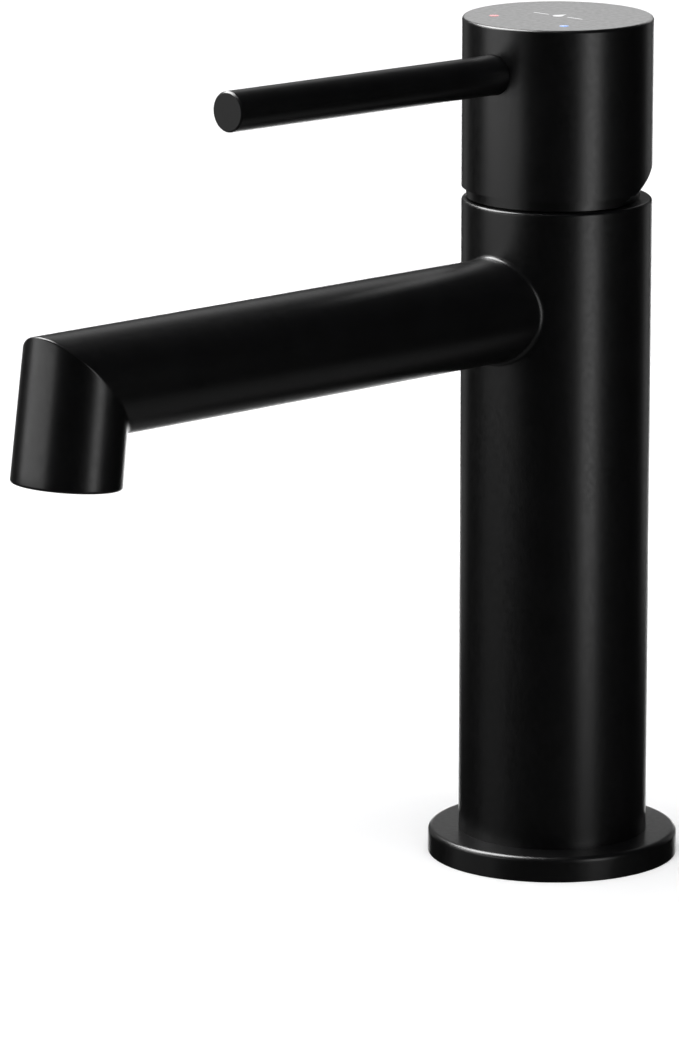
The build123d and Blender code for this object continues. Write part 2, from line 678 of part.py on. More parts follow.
# Head: a deep cap with a thinner skirt, a hub for the stem and a boss for the lever. A sloping cut
# at the back makes room for the tilt.
with BuildPart() as handle_head:
    with BuildSketch(Plane.XZ):
        with BuildLine():
            Polyline(
                (0, CEILING),
                (HEAD_BORE_R, CEILING),
                (HEAD_BORE_R, SKIRT_BOTTOM),
                (SKIRT_R, SKIRT_BOTTOM),
                (SKIRT_R, HEAD_BOTTOM),
                (BODY_R, HEAD_BOTTOM),
                (BODY_R, HEAD_TOP),
                (0, HEAD_TOP),
                close=True,
            )
        make_face()
    revolve(axis=Axis.Z)
    fillet(handle_head.faces().sort_by(Axis.Z)[-1].edges(), EDGE_R)
    with BuildSketch(Plane.XY.offset(HUB_BOTTOM)):
        with Locations((0, HUB_Y)):
            Circle(HUB_R)
    extrude(amount=CEILING - HUB_BOTTOM)
    with BuildSketch(Plane.XY.offset(BOSS_BOTTOM)):
        with Locations((0, HUB_Y)):
            Rectangle(BOSS_W, HEAD_BORE_R + HUB_Y + BOSS_BITE, align=(Align.CENTER, Align.MAX))
    extrude(amount=CEILING - BOSS_BOTTOM)
    with BuildSketch(Plane.YZ):
        with BuildLine():
            Polyline(
                (relief_start, BODY_TOP),
                (RELIEF_RUN, BODY_TOP),
                (RELIEF_RUN, relief_end),
                close=True,
            )
        make_face()
    extrude(amount=RELIEF_RUN, both=True, mode=Mode.SUBTRACT)
    with BuildSketch(stem_plane.offset(SOCKET_START)):
        Rectangle(STEM_SIDE, STEM_SIDE)
    extrude(amount=STEM_TOP + RUNNING - SOCKET_START, mode=Mode.SUBTRACT)
    with BuildSketch(lever_plane.offset(STEM_SIDE)):
        Circle(LEVER_THREAD_R)
    extrude(amount=BODY_R, mode=Mode.SUBTRACT)
    with BuildSketch(lever_plane.offset(LEVER_SHOULDER)):
        Circle(LEVER_HOLE_R)
    extrude(amount=BODY_R, mode=Mode.SUBTRACT)
    with BuildSketch(Plane.XY.offset(MARK_BOTTOM)):
        with Locations((-MARK_X, MARK_Y), (MARK_X, MARK_Y)):
            Circle(MARK_R)
    extrude(amount=MARK_T, mode=Mode.SUBTRACT)
handle_head.part.label = "handle_head"
export_step(handle_head.part, "parts/handle_head.step")

# Grub screw between the stem and the lever's thread.
SCREW_TIP = 9.65
SCREW_END = 13.3
SCREW_CONE = 1.4
SCREW_KEY = 3.0
SCREW_KEY_DEPTH = 2.2
with BuildPart() as handle_set_screw:
    with BuildSketch(lever_plane.offset(SCREW_TIP)):
        Circle(LEVER_THREAD_R)
    extrude(amount=SCREW_END - SCREW_TIP)
    chamfer(handle_set_screw.faces().sort_by(Axis.Y)[-1].edges(), SCREW_CONE)
    with BuildSketch(lever_plane.offset(SCREW_END - SCREW_KEY_DEPTH)):
        RegularPolygon(SCREW_KEY / 2, 6, major_radius=False)
    extrude(amount=SCREW_KEY_DEPTH, mode=Mode.SUBTRACT)
handle_set_screw.part.label = "handle_set_screw"
export_step(handle_set_screw.part, "parts/handle_set_screw.step")

# Pin lever with a threaded spigot.
SPIGOT_START = 13.4
LEVER_CHAMFER = 0.35
with BuildPart() as lever_rod:
    with BuildSketch(lever_plane.offset(LEVER_SHOULDER)):
        Circle(LEVER_R)
    extrude(amount=LEVER_END - LEVER_SHOULDER)
    chamfer(lever_rod.faces().sort_by(Axis.Y)[0].edges(), LEVER_CHAMFER)
    with BuildSketch(lever_plane.offset(SPIGOT_START)):
        Circle(LEVER_THREAD_R)
    extrude(amount=LEVER_SHOULDER - SPIGOT_START)
lever_rod.part.label = "lever_rod"
export_step(lever_rod.part, "parts/lever_rod.step")

# Enamel dots on top of the head: hot on the left, cold on the right.
for name, side in (("hot_mark", -1), ("cold_mark", 1)):
    with BuildPart() as mark:
        with BuildSketch(Plane.XY.offset(MARK_BOTTOM)):
            with Locations((side * MARK_X, MARK_Y)):
                Circle(MARK_R)
        extrude(amount=MARK_T)
    mark.part.label = name
    export_step(mark.part, f"parts/{name}.step")
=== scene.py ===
"""Finishes, fine pieces and studio for a single-lever basin mixer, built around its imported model.

Everything is in metres, +Z up. The spout and the lever point to -Y and the hot side is -X.
"""

import json
import logging
import math
from collections.abc import Callable, Sequence
from dataclasses import dataclass, field
from enum import Enum
from typing import ClassVar

import bmesh
import bpy
from mathutils import Matrix, Vector


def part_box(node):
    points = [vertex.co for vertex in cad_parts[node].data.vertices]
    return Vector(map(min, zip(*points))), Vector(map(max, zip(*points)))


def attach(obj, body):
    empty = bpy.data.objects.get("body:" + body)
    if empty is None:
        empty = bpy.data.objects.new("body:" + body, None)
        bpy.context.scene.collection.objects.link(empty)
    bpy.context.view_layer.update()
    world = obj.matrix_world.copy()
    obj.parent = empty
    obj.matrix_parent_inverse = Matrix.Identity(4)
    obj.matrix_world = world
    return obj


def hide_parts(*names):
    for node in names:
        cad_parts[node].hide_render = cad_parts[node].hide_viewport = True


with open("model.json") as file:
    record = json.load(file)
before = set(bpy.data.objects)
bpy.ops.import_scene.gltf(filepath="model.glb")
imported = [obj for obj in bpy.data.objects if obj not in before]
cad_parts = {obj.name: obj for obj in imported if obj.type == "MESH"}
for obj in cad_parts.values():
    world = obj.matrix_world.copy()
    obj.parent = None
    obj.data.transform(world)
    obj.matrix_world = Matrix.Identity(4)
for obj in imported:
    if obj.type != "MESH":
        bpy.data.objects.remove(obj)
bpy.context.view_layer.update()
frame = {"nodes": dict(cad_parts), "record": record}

log = logging.getLogger("mixer")

MM = 0.001
X_AXIS = Vector((1, 0, 0))
Z_AXIS = Vector((0, 0, 1))
SMOOTH_LIMIT = math.radians(32)  # faces that meet at less than this shade as one surface
TOUCHING = 0.0001 * MM  # vertices nearer than this are one
PATTERN_RANGE = (0.3, 0.7)  # where most of a noise pattern's values lie
TONE_RANGE = (0.32, 0.68)  # where a pattern passes from its dark tone to its light one
GASKET_WIDTH = 3.6 * MM  # of the foot's gasket and of its groove
TUBE_WALL = 2.5 * MM  # thickness of the body's tube
SEAT_RADIUS = 12.4 * MM  # of the hole in that tube that the spout's root stands in
SEAT_HEIGHT = 119.85 * MM  # where the spout's axis meets the body's
SPOUT_RISE = math.radians(1.17)

Colour = tuple[float, float, float]


class Body(Enum):
    """Rigid bodies of the mixer that a piece can ride on."""

    ROOT = "root"
    HANDLE = "handle"


class Grain(Enum):
    """Direction that a finish's marks run in."""

    EVEN = (1.0, 1.0, 1.0)
    UPRIGHT = (1.0, 1.0, 0.04)
    LEVEL = (0.04, 1.0, 1.0)


# ---- finishes --------------------------------------------------------------------------------


class Shading:
    """Node tree of one material, with its shader ready to be wired."""

    def __init__(self, name: str) -> None:
        """Start a material.

        Args:
            name: the material's name.
        """
        self.material = bpy.data.materials.new(name)
        self.material.use_nodes = True
        self.tree = self.material.node_tree
        self.shader = self.tree.nodes["Principled BSDF"]
        self.place = self.tree.nodes.new("ShaderNodeTexCoord").outputs["Object"]

    def join(self, source: bpy.types.NodeSocket, target: bpy.types.NodeSocket) -> None:
        """Link two sockets."""
        self.tree.links.new(source, target)

    def noise(self, scale: float, detail: float = 3.0, grain: Grain = Grain.EVEN) -> bpy.types.NodeSocket:
        """Add a noise pattern.

        Args:
            scale: cells per metre.
            detail: octaves.
            grain: direction that the pattern is drawn out in.

        Returns:
            The pattern's value socket, from 0 to 1.
        """
        turn = self.tree.nodes.new("ShaderNodeMapping")
        turn.inputs["Scale"].default_value = grain.value
        self.join(self.place, turn.inputs["Vector"])
        node = self.tree.nodes.new("ShaderNodeTexNoise")
        node.inputs["Scale"].default_value = scale
        node.inputs["Detail"].default_value = detail
        self.join(turn.outputs["Vector"], node.inputs["Vector"])
        return node.outputs["Fac"]

    def rings(self, scale: float) -> bpy.types.NodeSocket:
        """Add fine rings around the upright axis, as a lathe leaves them.

        Args:
            scale: rings per metre, roughly.

        Returns:
            The pattern's value socket.
        """
        node = self.tree.nodes.new("ShaderNodeTexWave")
        node.wave_type = "RINGS"
        node.rings_direction = "Z"
        for name, value in (("Scale", scale), ("Distortion", 0.4), ("Detail", 2.0)):
            node.inputs[name].default_value = value
        self.join(self.place, node.inputs["Vector"])
        return node.outputs["Fac"]

    def spread(self, source: bpy.types.NodeSocket, low: float, high: float) -> bpy.types.NodeSocket:
        """Map the middle of a pattern onto a range of values.

        Args:
            source: the pattern.
            low: value at the pattern's dark parts.
            high: value at its light parts.

        Returns:
            The mapped value socket.
        """
        node = self.tree.nodes.new("ShaderNodeMapRange")
        for name, value in zip(("From Min", "From Max", "To Min", "To Max"), (*PATTERN_RANGE, low, high)):
            node.inputs[name].default_value = value
        self.join(source, node.inputs["Value"])
        return node.outputs["Result"]

    def tint(self, source: bpy.types.NodeSocket, dark: Colour, light: Colour) -> None:
        """Colour the shader between two tones, by a pattern.

        Args:
            source: the pattern.
            dark: colour at its dark parts.
            light: colour at its light parts.
        """
        ramp = self.tree.nodes.new("ShaderNodeValToRGB")
        for stop, position, colour in zip(ramp.color_ramp.elements, TONE_RANGE, (dark, light)):
            stop.position = position
            stop.color = (*colour, 1.0)
        self.join(source, ramp.inputs["Fac"])
        self.join(ramp.outputs["Color"], self.shader.inputs["Base Color"])

    def roughen(self, source: bpy.types.NodeSocket, low: float, high: float) -> None:
        """Vary the shader's roughness by a pattern."""
        self.join(self.spread(source, low, high), self.shader.inputs["Roughness"])

    def bump(self, reliefs: Sequence[tuple[bpy.types.NodeSocket, float]], strength: float) -> None:
        """Raise the surface by some patterns, one over the other.

        Args:
            reliefs: each pattern with its height in metres.
            strength: share of the height that shows.
        """
        below = None
        for source, height in reliefs:
            node = self.tree.nodes.new("ShaderNodeBump")
            node.inputs["Strength"].default_value = strength
            node.inputs["Distance"].default_value = height
            self.join(source, node.inputs["Height"])
            if below is not None:
                self.join(below, node.inputs["Normal"])
            below = node.outputs["Normal"]
        self.join(below, self.shader.inputs["Normal"])

    def fix(self, **values: float) -> None:
        """Set even values on the shader's own sockets, named with underscores for spaces."""
        for name, value in values.items():
            self.shader.inputs[name.replace("_", " ")].default_value = value


def shade(colour: Colour, factor: float) -> Colour:
    """Return a colour made darker or lighter by a factor."""
    return tuple(min(1.0, part * factor) for part in colour)


@dataclass(frozen=True)
class Relief:
    """Pattern that stands up from a surface: its cells per metre and its height."""

    scale: float
    height: float


@dataclass(frozen=True)
class PowderCoat:
    """Satin powder coat: a fine grain over a faint orange peel."""

    name: str
    colour: Colour
    roughness: float = 0.31
    gloss: float = 0.42
    uneven: float = 0.035  # variation of the roughness, either way
    grain: Relief = Relief(5200.0, 0.004 * MM)
    peel: Relief = Relief(620.0, 0.012 * MM)
    cloud_scale: float = 140.0
    tones: tuple[float, float] = (0.82, 1.2)

    def build(self) -> bpy.types.Material:
        """Build the material."""
        s = Shading(self.name)
        grain = s.noise(self.grain.scale, 2.0)
        peel = s.noise(self.peel.scale, 2.0)
        s.tint(s.noise(self.cloud_scale), *(shade(self.colour, tone) for tone in self.tones))
        s.roughen(s.noise(900.0, 4.0), self.roughness - self.uneven, self.roughness + self.uneven)
        s.bump(((peel, self.peel.height), (grain, self.grain.height)), 0.35)
        s.fix(Specular_IOR_Level=self.gloss)
        return s.material


@dataclass(frozen=True)
class BareMetal:
    """Uncoated metal with the marks of its making."""

    name: str
    colour: Colour
    roughness: float
    grain: Grain = Grain.EVEN
    turned: bool = False
    lathe_rings: float = 900.0
    drawn: Relief = Relief(2400.0, 0.006 * MM)
    waves: Relief = Relief(260.0, 0.02 * MM)
    tones: tuple[float, float] = (0.86, 1.06)

    def build(self) -> bpy.types.Material:
        """Build the material."""
        s = Shading(self.name)
        marks = s.rings(self.lathe_rings) if self.turned else s.noise(self.drawn.scale, 4.0, self.grain)
        s.tint(s.noise(170.0, 4.0), *(shade(self.colour, tone) for tone in self.tones))
        s.roughen(s.noise(420.0, 5.0, self.grain), self.roughness - 0.07, self.roughness + 0.08)
        s.bump(((s.noise(self.waves.scale), self.waves.height), (marks, self.drawn.height)), 0.4)
        s.fix(Metallic=1.0)
        return s.material


@dataclass(frozen=True)
class Plastic:
    """Moulded plastic with a faint spark-eroded skin."""

    name: str
    colour: Colour
    roughness: float
    skin: Relief = Relief(3800.0, 0.006 * MM)
    tones: tuple[float, float] = (0.93, 1.05)

    def build(self) -> bpy.types.Material:
        """Build the material."""
        s = Shading(self.name)
        s.tint(s.noise(210.0), *(shade(self.colour, tone) for tone in self.tones))
        s.roughen(s.noise(1300.0), self.roughness - 0.05, self.roughness + 0.06)
        s.bump(((s.noise(self.skin.scale, 2.0), self.skin.height),), 0.5)
        return s.material


@dataclass(frozen=True)
class Rubber:
    """Black moulded rubber, dull, with a slight bloom."""

    name: str
    colour: Colour
    roughness: float = 0.72
    skin: Relief = Relief(5200.0, 0.01 * MM)
    tones: tuple[float, float] = (0.75, 1.7)

    def build(self) -> bpy.types.Material:
        """Build the material."""
        s = Shading(self.name)
        s.tint(s.noise(330.0, 5.0), *(shade(self.colour, tone) for tone in self.tones))
        s.roughen(s.noise(1500.0, 4.0), self.roughness - 0.08, self.roughness + 0.1)
        s.bump(((s.noise(self.skin.scale, 3.0), self.skin.height),), 0.5)
        return s.material


@dataclass(frozen=True)
class Ceramic:
    """Lapped alumina: white, very fine and glossy."""

    name: str
    colour: Colour
    skin: Relief = Relief(2600.0, 0.002 * MM)
    tones: tuple[float, float] = (0.96, 1.03)
    roughness: tuple[float, float] = (0.1, 0.2)

    def build(self) -> bpy.types.Material:
        """Build the material."""
        s = Shading(self.name)
        s.tint(s.noise(900.0, 5.0), *(shade(self.colour, tone) for tone in self.tones))
        s.roughen(s.noise(400.0, 5.0), *self.roughness)
        s.bump(((s.noise(self.skin.scale, 4.0), self.skin.height),), 0.4)
        return s.material


@dataclass(frozen=True)
class Enamel:
    """Glossy enamel that fills a mark."""

    name: str
    colour: Colour
    coat: float = 0.4
    skin: Relief = Relief(1500.0, 0.004 * MM)
    tones: tuple[float, float] = (0.85, 1.15)
    roughness: tuple[float, float] = (0.16, 0.26)

    def build(self) -> bpy.types.Material:
        """Build the material."""
        s = Shading(self.name)
        s.tint(s.noise(2100.0), *(shade(self.colour, tone) for tone in self.tones))
        s.roughen(s.noise(1700.0), *self.roughness)
        s.bump(((s.noise(self.skin.scale), self.skin.height),), 0.4)
        s.fix(Coat_Weight=self.coat)
        return s.material


FINISHES: dict[str, PowderCoat | BareMetal | Plastic | Rubber | Ceramic | Enamel] = {
    "matte_black": PowderCoat("satin_black_coat", (0.0018, 0.0018, 0.002)),
    # painted light: the bonnet's coat is a lighter grey than the body's black, standing in for light its neck
    # doesn't get in the head's shade
    "bonnet_black": PowderCoat("bonnet_coat_painted_light", (0.014, 0.0145, 0.0145), roughness=0.38),
    "rubber": Rubber("black_rubber", (0.014, 0.014, 0.014)),
    "brass": BareMetal("turned_brass", (0.75, 0.52, 0.22), 0.3, turned=True),
    "copper": BareMetal("drawn_copper", (0.78, 0.38, 0.24), 0.28, Grain.UPRIGHT),
    "steel": BareMetal("stainless_steel", (0.56, 0.56, 0.57), 0.32, Grain.LEVEL),
    "ceramic": Ceramic("lapped_ceramic", (0.86, 0.85, 0.81)),
    "cartridge_plastic": Plastic("cartridge_case", (0.42, 0.43, 0.44), 0.38),
    "driver_plastic": Plastic("driver_blue", (0.05, 0.14, 0.34), 0.42),
    "turret_plastic": Plastic("turret_white", (0.68, 0.68, 0.65), 0.4),
    "aerator_plastic": Plastic("aerator_grey", (0.16, 0.165, 0.17), 0.42),
    "straightener_plastic": Plastic("straightener_pale", (0.58, 0.6, 0.61), 0.35),
    "hot_enamel": Enamel("hot_red", (0.78, 0.03, 0.04)),
    "cold_enamel": Enamel("cold_blue", (0.02, 0.2, 0.7)),
}


class Workshop:
    """Keeps the finishes and turns finished meshes into pieces."""

    def __init__(self) -> None:
        """Build every finish once."""
        self.finishes = {slot: finish.build() for slot, finish in FINISHES.items()}

    def dress_frame(self) -> None:
        """Give every carried-over node the finish of its slot."""
        for part in frame["record"]["subparts"]:
            node = frame["nodes"][part["node"]]
            for held in node.material_slots:
                held.material = self.finishes[part["material_slot"]]
            log.info("%s: %s", part["node"], part["material_slot"])

    def piece(self, name: str, bm: bmesh.types.BMesh, slot: str, body: Body, *nodes: str) -> bpy.types.Object:
        """Turn a mesh into a finished piece that rides on a body.

        Args:
            name: the piece's name.
            bm: its mesh, in place; it is freed.
            slot: the material slot that it takes its finish from.
            body: the body that it rides on.
            nodes: carried-over nodes that it stands for.

        Returns:
            The new object, at the origin.
        """
        mesh = bpy.data.meshes.new(name)
        bmesh.ops.remove_doubles(bm, verts=bm.verts[:], dist=TOUCHING)
        bmesh.ops.recalc_face_normals(bm, faces=bm.faces[:])
        bm.to_mesh(mesh)
        bm.free()
        mesh.shade_smooth()
        mesh.set_sharp_from_angle(angle=SMOOTH_LIMIT)
        mesh.materials.append(self.finishes[slot])
        made = bpy.data.objects.new(name, mesh)
        bpy.context.scene.collection.objects.link(made)
        if nodes:
            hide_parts(*nodes)
        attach(made, body.value)
        log.info("%s: %d faces on %s", name, len(mesh.polygons), body.value)
        return made


# ---- mesh work -------------------------------------------------------------------------------

Station = Callable[[float], Vector]


def carry_ring(stations: Sequence[Station], segments: int) -> bmesh.types.BMesh:
    """Carry a ring of vertices from station to station, and so skin a bent tube.

    Args:
        stations: for each ring, the place of its vertex at an angle in radians.
        segments: vertices round the ring.

    Returns:
        The skin, with the layer "station" holding the number of each vertex's ring.
    """
    bm = bmesh.new()
    angle = bm.verts.layers.float.new("angle")
    number = bm.verts.layers.int.new("station")
    for vert in bmesh.ops.create_circle(bm, segments=segments, radius=1.0)["verts"]:
        vert[angle] = math.atan2(vert.co.y, vert.co.x)
    ring = bm.edges[:]
    for index, station in enumerate(stations):
        if index:
            grown = set(bmesh.ops.extrude_edge_only(bm, edges=ring)["geom"])
            ring = [e for e in grown if isinstance(e, bmesh.types.BMEdge) and set(e.verts) <= grown]
        for vert in {v for edge in ring for v in edge.verts}:
            vert[number] = index
            vert.co = station(vert[angle])
    return bm


def soften_ring(bm: bmesh.types.BMesh, index: int, width: float, segments: int) -> None:
    """Round the edge that runs round a station's ring.

    Args:
        bm: the skin.
        index: the station's number.
        width: how far the rounding reaches on each side.
        segments: steps of the rounding.
    """
    number = bm.verts.layers.int["station"]
    ring = [e for e in bm.edges if all(v[number] == index for v in e.verts)]
    bmesh.ops.bevel(bm, geom=ring, offset=width, offset_type="OFFSET", segments=segments, profile=0.5,
                    affect="EDGES", material=-1, clamp_overlap=True)


def keep_side(bm: bmesh.types.BMesh, point: Vector, normal: Vector) -> bmesh.types.BMesh:
    """Cut a copy of a tube by a plane and close its wall there.

    Args:
        bm: the whole tube, left as it is.
        point: a point of the plane.
        normal: the plane's normal; what lies on its side is taken away.

    Returns:
        The copy that is left.
    """
    part = bm.copy()
    whole = part.verts[:] + part.edges[:] + part.faces[:]
    bmesh.ops.bisect_plane(part, geom=whole, dist=10 * TOUCHING, plane_co=point, plane_no=normal,
                           clear_outer=True)
    bmesh.ops.bridge_loops(part, edges=[e for e in part.edges if e.is_boundary])
    return part


def turn_profile(points: Sequence[tuple[float, float]], steps: int, place: Matrix) -> bmesh.types.BMesh:
    """Spin a closed or axis-to-axis outline into a solid of revolution.

    Args:
        points: the outline, as distance from the axis and height.
        steps: faces round the axis.
        place: where the axis' frame stands.

    Returns:
        The solid.
    """
    bm = bmesh.new()
    verts = [bm.verts.new((radius, 0.0, height)) for radius, height in points]
    closed = min(radius for radius, _ in points) > 0.0
    pairs = zip(verts, verts[1:] + verts[:1] if closed else verts[1:])
    edges = [bm.edges.new(pair) for pair in pairs]
    bmesh.ops.spin(bm, geom=verts + edges, cent=(0, 0, 0), axis=Z_AXIS, angle=math.tau, steps=steps,
                   use_merge=True, use_duplicate=False)
    bmesh.ops.remove_doubles(bm, verts=bm.verts[:], dist=TOUCHING)
    bmesh.ops.transform(bm, matrix=place, verts=bm.verts[:])
    return bm


def round_ring(radius: float, section: float, centre: Vector, steps: int,
               sides: int = 20) -> bmesh.types.BMesh:
    """Make an O-ring around the upright axis.

    Args:
        radius: from the ring's axis to the middle of its section.
        section: radius of its round section.
        centre: middle of the ring.
        steps: faces round the ring.
        sides: faces round its section.

    Returns:
        The ring's mesh.
    """
    outline = [(radius + section * math.cos(a), section * math.sin(a))
               for a in (math.tau * k / sides for k in range(sides))]
    return turn_profile(outline, steps, Matrix.Translation(centre))


def joined(meshes: Sequence[bmesh.types.BMesh]) -> bmesh.types.BMesh:
    """Put several meshes into one, and free them."""
    whole = bmesh.new()
    for bm in meshes:
        held = bpy.data.meshes.new("held")
        bm.to_mesh(held)
        bm.free()
        whole.from_mesh(held)
        bpy.data.meshes.remove(held)
    return whole


def rounded_edge(radius: float, height: float, reach: float, steps: int = 10) -> list[tuple[float, float]]:
    """Outline of an outer top edge that is rounded, with a short run before and after it.

    Args:
        radius: of the wall below the edge.
        height: of the face inside the edge.
        reach: radius of the rounding.
        steps: of the rounding.

    Returns:
        Its points, from the wall up and inward.
    """
    run = 0.3 * MM
    turns = (math.pi / 2 * k / steps for k in range(steps + 1))
    arc = [(radius - reach + reach * math.cos(a), height - reach + reach * math.sin(a)) for a in turns]
    return [(radius, height - reach - run), *arc, (radius - reach - run, height)]


def cut_away(blank: bmesh.types.BMesh, tool: bmesh.types.BMesh) -> bmesh.types.BMesh:
    """Take one closed mesh away from another, and free both.

    Args:
        blank: what is cut.
        tool: what is taken away.

    Returns:
        What is left.
    """
    held = []
    for bm in (blank, tool):
        mesh = bpy.data.meshes.new("held")
        bmesh.ops.recalc_face_normals(bm, faces=bm.faces[:])
        bm.to_mesh(mesh)
        bm.free()
        held.append(bpy.data.objects.new("held", mesh))
        bpy.context.scene.collection.objects.link(held[-1])
    cut = held[0].modifiers.new("cut", "BOOLEAN")
    cut.operation, cut.solver, cut.object = "DIFFERENCE", "EXACT", held[1]
    left = bmesh.new()
    left.from_object(held[0], bpy.context.evaluated_depsgraph_get())
    for thing in held:
        mesh = thing.data
        bpy.data.objects.remove(thing)
        bpy.data.meshes.remove(mesh)
    return left


# ---- body and foot ---------------------------------------------------------------------------


@dataclass
class Column:
    """Upright tube with its rounded top edge, and the round foot that it stands in."""

    edge: float = 0.65 * MM
    band: tuple[float, float] = (104.0 * MM, 136.0 * MM)  # heights just below and above the seat
    foot_edge: float = 1.0 * MM
    segments: int = 288
    seat_segments: int = 144
    SLOT: ClassVar[str] = "matte_black"

    def tube(self, shop: Workshop) -> None:
        """Build the tube and cut the seat for the spout's root."""
        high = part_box("body_tube")[1]
        bore = high.x - TUBE_WALL
        outline = [(bore, 0.0), (high.x, 0.0), *((high.x, level) for level in self.band),
                   *rounded_edge(high.x, high.z, self.edge), (bore, high.z)]
        out = Vector((0, -math.cos(SPOUT_RISE), math.sin(SPOUT_RISE)))
        depth = 1.5 * high.x  # from the axis to well outside the tube
        middle = Matrix.Translation(Vector((0, 0, SEAT_HEIGHT)) + out * depth / 2)
        tool = bmesh.new()
        bmesh.ops.create_cone(tool, cap_ends=True, segments=self.seat_segments, radius1=SEAT_RADIUS,
                              radius2=SEAT_RADIUS, depth=depth,
                              matrix=middle @ out.to_track_quat("Z", "X").to_matrix().to_4x4())
        shell = cut_away(turn_profile(outline, self.segments, Matrix()), tool)
        shop.piece("body_tube_skin", shell, self.SLOT, Body.ROOT, "body_tube")

    def foot(self, shop: Workshop) -> None:
        """Build the foot with the groove for its gasket."""
        high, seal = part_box("base_flange")[1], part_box("base_gasket")[1]
        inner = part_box("body_tube")[1].x
        groove = seal.x - GASKET_WIDTH
        outline = [(inner, 0.0), (groove, 0.0), (groove, seal.z), (seal.x, seal.z), (seal.x, 0.0),
                   (high.x, 0.0), *rounded_edge(high.x, high.z, self.foot_edge), (inner, high.z)]
        shop.piece("base_flange_skin", turn_profile(outline, self.segments, Matrix()), self.SLOT, Body.ROOT,
                   "base_flange")

    def build(self, shop: Workshop) -> None:
        """Build the tube and the foot."""
        self.tube(shop)
        self.foot(shop)


# ---- spout -----------------------------------------------------------------------------------


